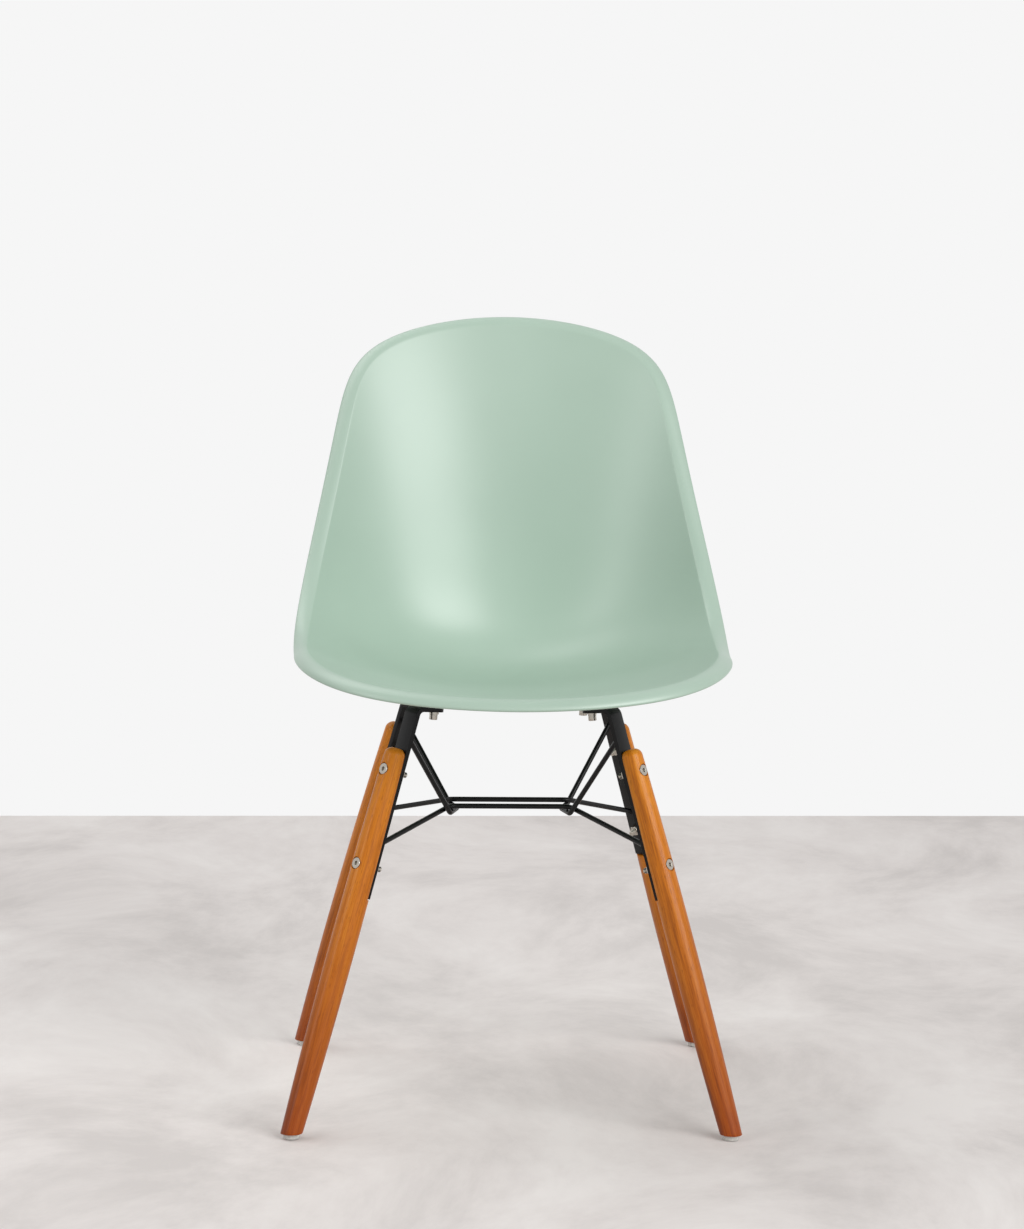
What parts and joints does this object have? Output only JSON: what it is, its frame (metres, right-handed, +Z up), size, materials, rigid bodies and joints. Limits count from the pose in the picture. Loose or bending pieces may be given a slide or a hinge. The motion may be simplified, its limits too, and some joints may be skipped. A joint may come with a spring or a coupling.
{
  "type": "dining chair",
  "caption": "Armless dining chair: moulded plastic bucket shell with a rolled rim, on splayed turned wooden legs, bent steel brackets and a welded wire brace",
  "frame": {"origin": "middle of the chair on the floor, under the middle of the four glides", "axes": "+Z up, -Y towards the front lip, +X towards the sitter's left hand, which is the right hand side of the picture"},
  "size_m": [0.4792, 0.536, 0.8217],
  "materials": {
    "shell_plastic": "satin moulded polypropylene",
    "leg_wood": "stained and satin lacquered hardwood",
    "black_steel": "satin black powder coat",
    "plated_steel": "bright nickel plating",
    "glide_plastic": "milky translucent nylon",
    "pad_rubber": "black rubber",
    "insert_brass": "turned brass"
  },
  "bodies": {
    "root": {"seat_shell": "shell_plastic", "leg_front_right": "leg_wood", "leg_front_left": "leg_wood", "leg_rear_right": "leg_wood", "leg_rear_left": "leg_wood", "bracket_front_right": "black_steel", "bracket_front_left": "black_steel", "bracket_rear_right": "black_steel", "bracket_rear_left": "black_steel", "rod_lower_front": "black_steel", "rod_lower_rear": "black_steel", "rod_side_right": "black_steel", "rod_side_left": "black_steel", "glide_front_right": "glide_plastic", "glide_front_left": "glide_plastic", "glide_rear_right": "glide_plastic", "glide_rear_left": "glide_plastic", "glide_pins": "plated_steel", "leg_bolts": "plated_steel", "leg_nuts": "plated_steel", "seat_bolts": "plated_steel", "seat_washers": "plated_steel", "seat_lock_washers": "plated_steel", "seat_pads": "pad_rubber", "seat_inserts": "insert_brass"}
  },
  "joints": []
}
